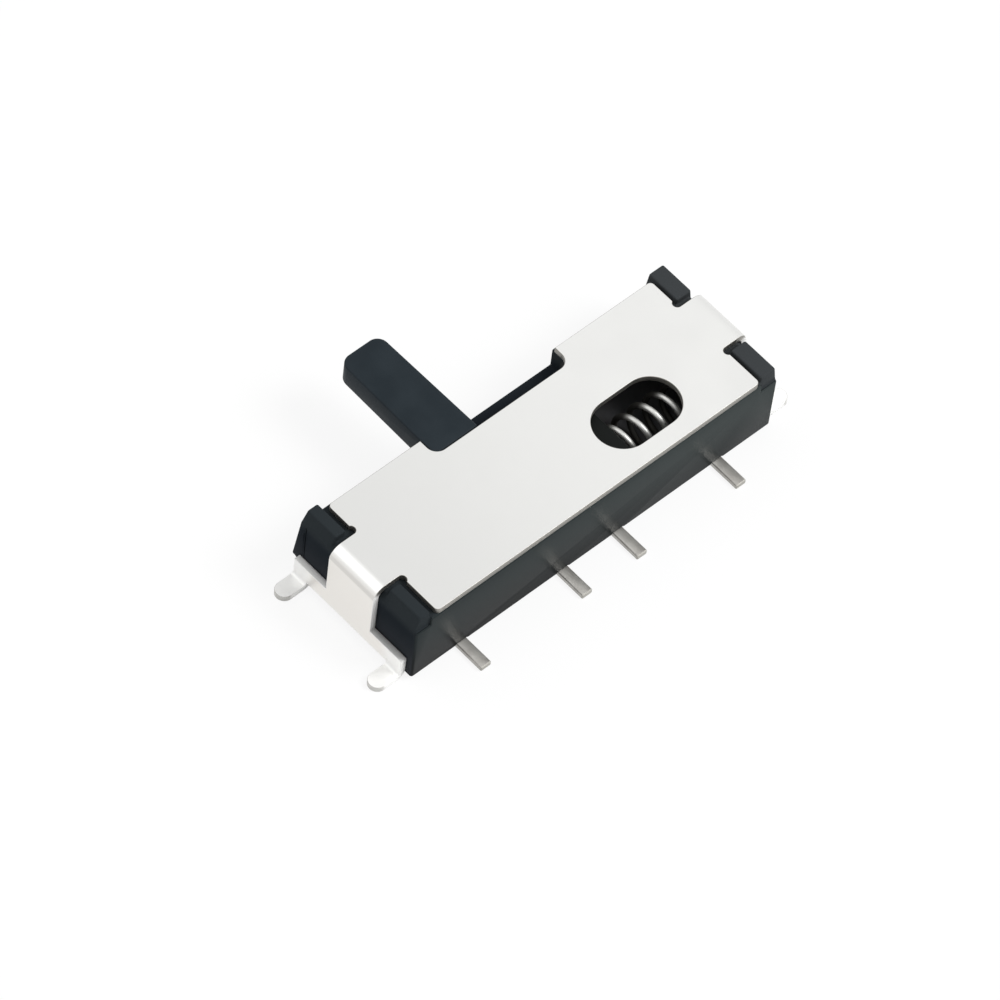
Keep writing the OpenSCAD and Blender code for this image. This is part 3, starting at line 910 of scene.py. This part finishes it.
# Soft blotches, and a painted shade: the flat is darker towards the left end.
mottle_and_painted_shade = blend_value(tree, drift, ramp(tree, blank["X"], *PAINTED_SHADE_SPAN_A),
                     ramp(tree, blank["X"], *PAINTED_SHADE_SPAN_B))

# The sheared wall: dark round the plate, where the rolled edge shares it as a painted shade;
# painted white below the folds, a painted light; painted grey at the tips of the feet, a
# painted shade.
sheared_and_painted_tone = blend_colour(tree, on_tab, tone(154, 152, 147), tone(254, 254, 252))
sheared_and_painted_tone = blend_colour(tree, tip, sheared_and_painted_tone, tone(206, 205, 201))
colour = blend_colour(tree, mottle_and_painted_shade, tone(215, 215, 213), tone(228, 228, 226))
# Painted reflection: the tabs are paler and warmer than the plate.
colour = blend_colour(tree, on_tab, colour, tone(238, 235, 230))
# The sunk line is relief; its darker colour is a painted shade.
colour = blend_colour(tree, press, colour, tone(212, 210, 206))
colour = blend_colour(tree, dipped, colour, tone(254, 254, 252))
colour = blend_colour(tree, sheared, colour, sheared_and_painted_tone)
rough = blend_value(tree, drift, 0.34, 0.38)
rough = blend_value(tree, sheared, rough, 0.5)
metal = blend_value(tree, dipped, 1.0, 0.2)
metal = blend_value(tree, all_of(tree, sheared, on_tab), metal, 0.0)
close_material(tree, place, colour, rough, grain_size=20, relief=0.0006, stretch=ROLLED,
               press=press, metallic=metal)
print("finish:", plated.name)

# %% [markdown]
# ## Every piece gets its finish
#
# The moving contact is the one CAD node that stays, because its own shape is right. It
# takes its finish in the same way as the new pieces.

# %% Dressing the pieces
def dress(piece, material):
    """Gives a piece, or a CAD node that stays, one material."""
    piece.data.materials.clear()
    piece.data.materials.append(material)


dress(cover, plated)
dress(housing, black)
dress(slider, lever_black)
for strip in terminals:
    dress(strip, tinned)
dress(spring, wire)
dress(nodes["moving_contact"], alloy)
print("materials:", [m.name for m in bpy.data.materials])

# %% [markdown]
# ## Floor, light and background
#
# The floor is white paper and so is everything beyond it. The camera and all reflections
# see it nearly at full white, and part of its colour is left to the lamps, so a soft
# shadow stays under the part.

# %% Floor
FLOOR_HALF = 2000
PAPER = (0.97, 0.97, 0.97, 1)
WHITE = (1, 1, 1, 1)
OWN_GLOW = 0.86


def seen_directly(tree):
    """1 for rays from the camera, a reflection or a glass, and 0 for the light itself."""
    rays = add(tree, "ShaderNodeLightPath").outputs
    seen = maths(tree, "ADD", rays["Is Camera Ray"], rays["Is Glossy Ray"])
    return maths(tree, "ADD", seen, rays["Is Transmission Ray"], clamp=True)


corners = [(-1, -1, 0), (1, -1, 0), (1, 1, 0), (-1, 1, 0)]
floor = mesh_piece("floor", np.array(corners) * FLOOR_HALF, [(0, 1, 2, 3)], smooth=False)
paper = bpy.data.materials.new("white paper")
tree = empty_tree(paper)
share = maths(tree, "MULTIPLY", seen_directly(tree), OWN_GLOW)
lit = add(tree, "ShaderNodeBsdfDiffuse", {"Color": PAPER}).outputs[0]
glow = add(tree, "ShaderNodeEmission", {"Color": WHITE, "Strength": 1.0}).outputs[0]
both = add(tree, "ShaderNodeMixShader", {0: share, 1: lit, 2: glow}).outputs[0]
add(tree, "ShaderNodeOutputMaterial", {"Surface": both})
dress(floor, paper)
print("the floor is", round(2 * FLOOR_HALF * MM), "m wide")

# %% [markdown]
# ## Room and lamps
#
# The room is white where it is seen, and lights the part more gently than that. Two large
# soft lamps do the rest: a key lamp on the camera's right, and a larger, fainter one on
# its left.

# %% Room and lamps
ROOM_LIGHT, ROOM_SEEN = 0.45, 1.0


def soft_box(name, place, size, power):
    """A square lamp at place, with sides of size, both in millimetres, facing the part."""
    data = bpy.data.lights.new(name, "AREA")
    data.size = size * MM
    data.energy = power
    lamp = bpy.data.objects.new(name, data)
    lamp.location = Vector(place) * MM
    lamp.rotation_euler = (-Vector(place)).to_track_quat("-Z", "Y").to_euler()
    scene.collection.objects.link(lamp)


world = bpy.data.worlds.new("studio")
tree = empty_tree(world)
strength = add(tree, "ShaderNodeMapRange",
               {"Value": seen_directly(tree), "To Min": ROOM_LIGHT, "To Max": ROOM_SEEN})
sky = add(tree, "ShaderNodeBackground", {"Color": WHITE, "Strength": strength.outputs[0]})
add(tree, "ShaderNodeOutputWorld", {"Surface": sky.outputs[0]})
scene.world = world
soft_box("key", place=(85, -95, 150), size=80, power=0.26)
soft_box("fill", place=(-80, 75, 140), size=200, power=0.10)
scene.view_settings.view_transform = "Standard"
print("the room shines at", ROOM_LIGHT, "with", len(bpy.data.lights), "lamps")
